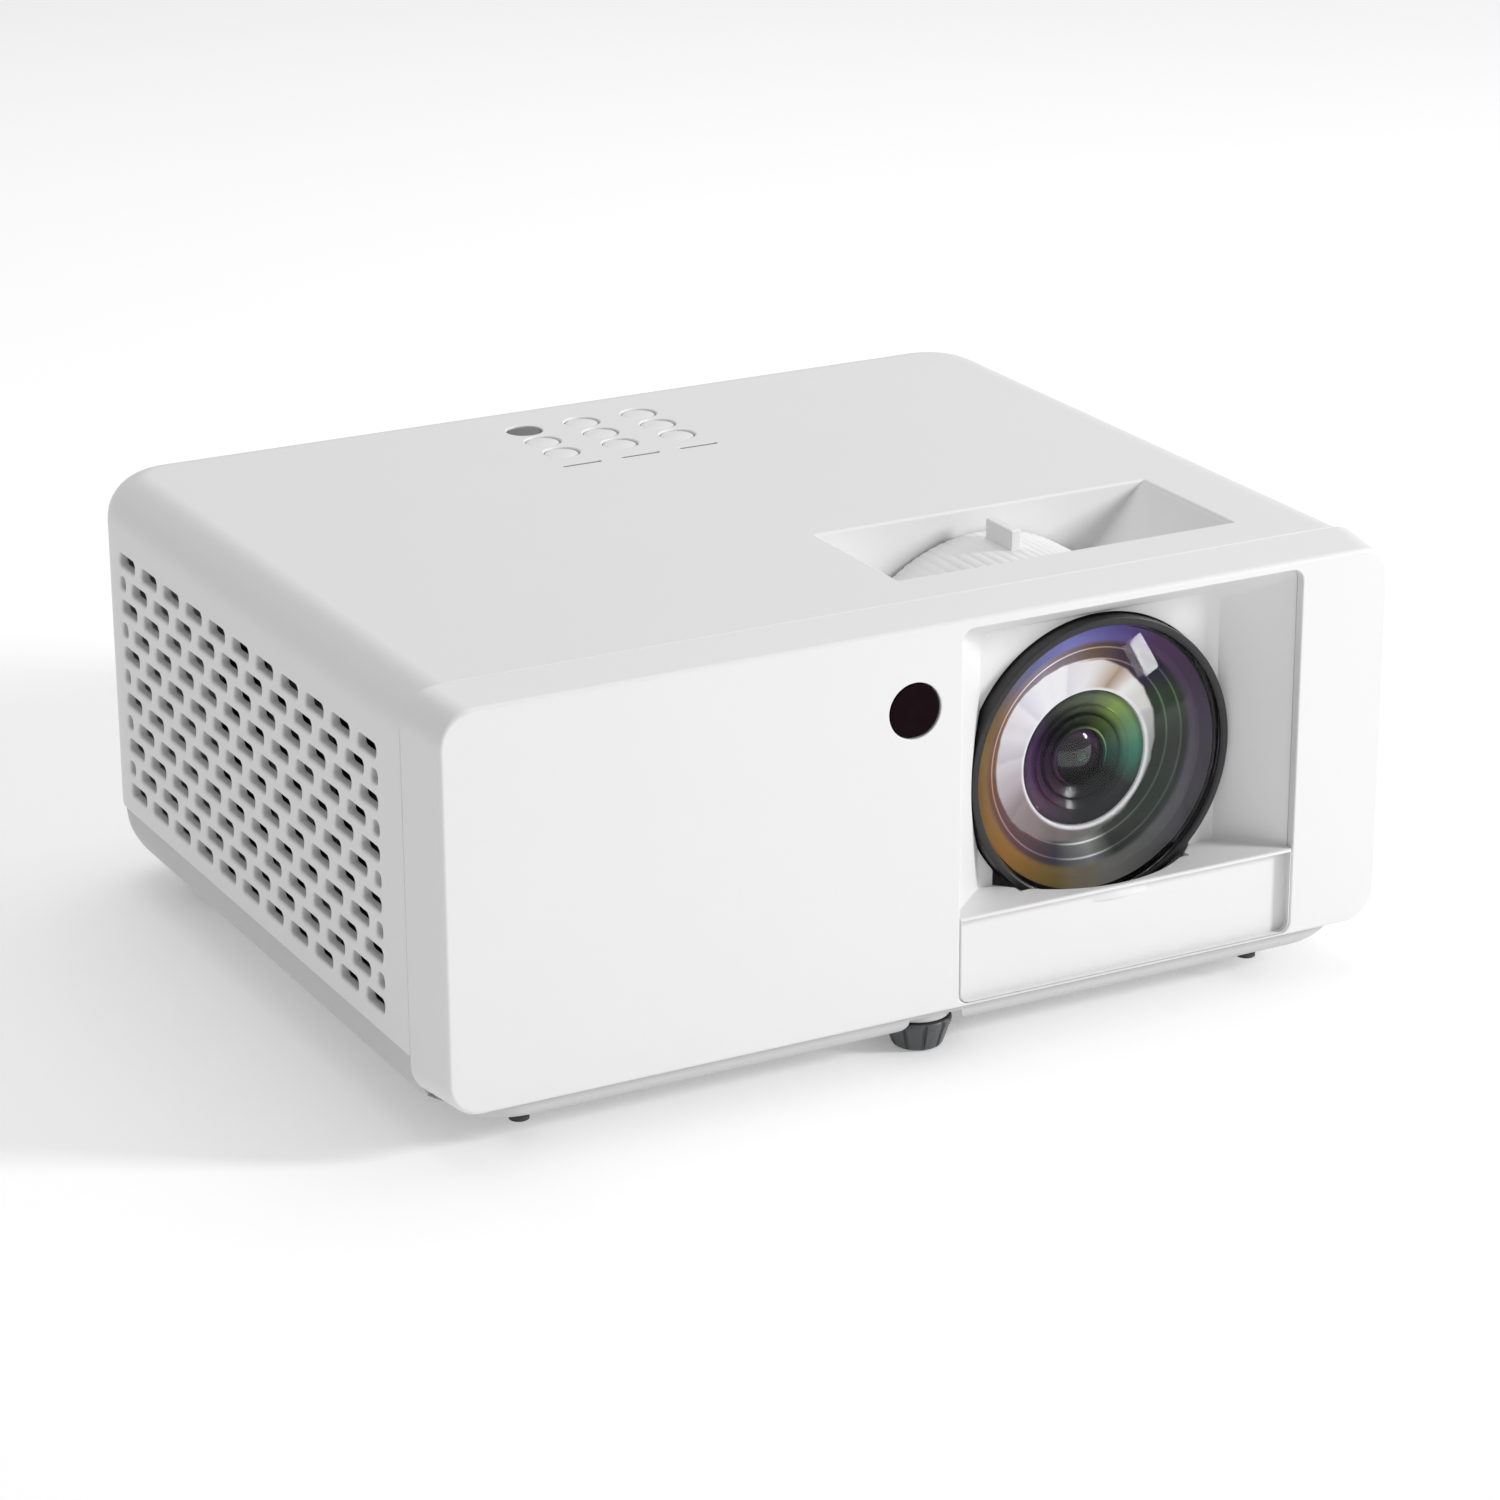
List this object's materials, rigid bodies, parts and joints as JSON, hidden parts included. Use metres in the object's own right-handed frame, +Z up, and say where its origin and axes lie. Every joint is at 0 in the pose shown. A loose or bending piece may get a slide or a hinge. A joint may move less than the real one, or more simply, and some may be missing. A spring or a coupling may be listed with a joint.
{
  "type": "home projector",
  "caption": "Compact white projector with an off-centre short-throw lens in a square recess, slotted vent sides, a top keypad, a focus ring and screw feet.",
  "frame": {"origin": "centre of the footprint, on the surface that the feet stand on", "axes": "+Z up, the lens looks along -Y, +X is to the right seen from the front"},
  "size_m": [0.274, 0.226, 0.1174],
  "materials": {
    "shell": "fine satin texture",
    "tray": "fine satin texture",
    "panel": "satin",
    "knob": "satin",
    "focus": "satin",
    "lens_glass": "coated, polished",
    "black": "satin",
    "ir_gloss": "polished",
    "lamp": "translucent",
    "rubber": "matte",
    "cast_metal": "cast",
    "sink_metal": "brushed",
    "motor_metal": "satin",
    "phosphor": "coated",
    "circuit": "satin",
    "sheet_metal": "bright"
  },
  "bodies": {
    "housing": {"top_case": "shell", "front_bezel": "shell", "lens_recess": "shell", "left_vent_grille": "shell", "right_vent_grille": "shell", "bottom_case": "tray", "rear_socket_panel": "panel", "lens_front_glass": "lens_glass", "lens_inner_glass": "lens_glass", "lens_rim": "black", "lens_baffle": "black", "lens_tube": "black", "exhaust_fan_frame": "black", "intake_fan_frame": "black", "speaker": "black", "mains_inlet": "black", "ir_window": "ir_gloss", "lamp_power": "lamp", "lamp_temperature": "lamp", "lamp_light": "lamp", "front_pad_left": "rubber", "front_pad_right": "rubber", "optical_engine": "cast_metal", "laser_module": "cast_metal", "imaging_heatsink": "sink_metal", "laser_heatsink": "sink_metal", "wheel_motor": "motor_metal", "imaging_board": "circuit", "main_board": "circuit", "power_board": "circuit", "keypad_board": "circuit", "ir_receiver": "circuit", "board_shield": "sheet_metal", "hdmi_socket_1": "sheet_metal", "hdmi_socket_2": "sheet_metal", "usb_socket": "sheet_metal", "audio_socket": "sheet_metal", "serial_socket": "sheet_metal"},
    "focus": {"focus_ring": "focus"},
    "key_power_body": {"key_power": "knob"},
    "key_up_body": {"key_up": "shell"},
    "key_menu_body": {"key_menu": "shell"},
    "key_left_body": {"key_left": "shell"},
    "key_enter_body": {"key_enter": "shell"},
    "key_right_body": {"key_right": "shell"},
    "key_back_body": {"key_back": "shell"},
    "key_down_body": {"key_down": "shell"},
    "key_source_body": {"key_source": "shell"},
    "exhaust_rotor": {"exhaust_fan_rotor": "black"},
    "intake_rotor": {"intake_fan_rotor": "black"},
    "wheel": {"phosphor_wheel": "phosphor"},
    "front_clip": {"front_foot_clip": "sheet_metal"},
    "front_leg": {"front_foot": "knob"},
    "rear_left_clip": {"rear_left_foot_clip": "sheet_metal"},
    "rear_left_leg": {"rear_left_foot": "knob"},
    "rear_right_clip": {"rear_right_foot_clip": "sheet_metal"},
    "rear_right_leg": {"rear_right_foot": "knob"}
  },
  "joints": [
    {"name": "focus_turn", "type": "hinge", "parent": "housing", "child": "focus", "pos_m": [0.0557, -0.0548, 0.0666], "axis": [0, 1, 0], "range_deg": [-20, 20]},
    {"name": "press_power", "type": "slide", "parent": "housing", "child": "key_power_body", "axis": [0, 0, -1], "range_m": [0, 0.0006], "stiffness_N_per_m": 300, "springref_m": -0.001},
    {"name": "press_up", "type": "slide", "parent": "housing", "child": "key_up_body", "axis": [0, 0, -1], "range_m": [0, 0.0006], "stiffness_N_per_m": 300, "springref_m": -0.001},
    {"name": "press_menu", "type": "slide", "parent": "housing", "child": "key_menu_body", "axis": [0, 0, -1], "range_m": [0, 0.0006], "stiffness_N_per_m": 300, "springref_m": -0.001},
    {"name": "press_left", "type": "slide", "parent": "housing", "child": "key_left_body", "axis": [0, 0, -1], "range_m": [0, 0.0006], "stiffness_N_per_m": 300, "springref_m": -0.001},
    {"name": "press_enter", "type": "slide", "parent": "housing", "child": "key_enter_body", "axis": [0, 0, -1], "range_m": [0, 0.0006], "stiffness_N_per_m": 300, "springref_m": -0.001},
    {"name": "press_right", "type": "slide", "parent": "housing", "child": "key_right_body", "axis": [0, 0, -1], "range_m": [0, 0.0006], "stiffness_N_per_m": 300, "springref_m": -0.001},
    {"name": "press_back", "type": "slide", "parent": "housing", "child": "key_back_body", "axis": [0, 0, -1], "range_m": [0, 0.0006], "stiffness_N_per_m": 300, "springref_m": -0.001},
    {"name": "press_down", "type": "slide", "parent": "housing", "child": "key_down_body", "axis": [0, 0, -1], "range_m": [0, 0.0006], "stiffness_N_per_m": 300, "springref_m": -0.001},
    {"name": "press_source", "type": "slide", "parent": "housing", "child": "key_source_body", "axis": [0, 0, -1], "range_m": [0, 0.0006], "stiffness_N_per_m": 300, "springref_m": -0.001},
    {"name": "exhaust_spin", "type": "hinge", "parent": "housing", "child": "exhaust_rotor", "pos_m": [-0.1195, -0.00405, 0.06425], "axis": [1, 0, 0], "continuous": true},
    {"name": "intake_spin", "type": "hinge", "parent": "housing", "child": "intake_rotor", "pos_m": [0.1195, 0.01545, 0.06425], "axis": [1, 0, 0], "continuous": true},
    {"name": "wheel_spin", "type": "hinge", "parent": "housing", "child": "wheel", "pos_m": [-0.0175, -0.0431, 0.056], "axis": [0, 1, 0], "continuous": true},
    {"name": "front_travel", "type": "slide", "parent": "housing", "child": "front_clip", "axis": [0, 0, -1], "range_m": [0, 0.012]},
    {"name": "front_turn", "type": "hinge", "parent": "front_clip", "child": "front_leg", "pos_m": [0.002, -0.1005, 0.004], "axis": [0, 0, -1], "range_deg": [0, 2880]},
    {"name": "rear_left_travel", "type": "slide", "parent": "housing", "child": "rear_left_clip", "axis": [0, 0, -1], "range_m": [0, 0.012]},
    {"name": "rear_left_turn", "type": "hinge", "parent": "rear_left_clip", "child": "rear_left_leg", "pos_m": [-0.112, 0.08, 0.004], "axis": [0, 0, -1], "range_deg": [0, 2880]},
    {"name": "rear_right_travel", "type": "slide", "parent": "housing", "child": "rear_right_clip", "axis": [0, 0, -1], "range_m": [0, 0.012]},
    {"name": "rear_right_turn", "type": "hinge", "parent": "rear_right_clip", "child": "rear_right_leg", "pos_m": [0.112, 0.08, 0.004], "axis": [0, 0, -1], "range_deg": [0, 2880]}
  ],
  "couplings": [
    {"joint": "front_turn", "follows": "front_travel", "rad_per_m": 4188.7},
    {"joint": "rear_left_turn", "follows": "rear_left_travel", "rad_per_m": 4188.7},
    {"joint": "rear_right_turn", "follows": "rear_right_travel", "rad_per_m": 4188.7}
  ]
}
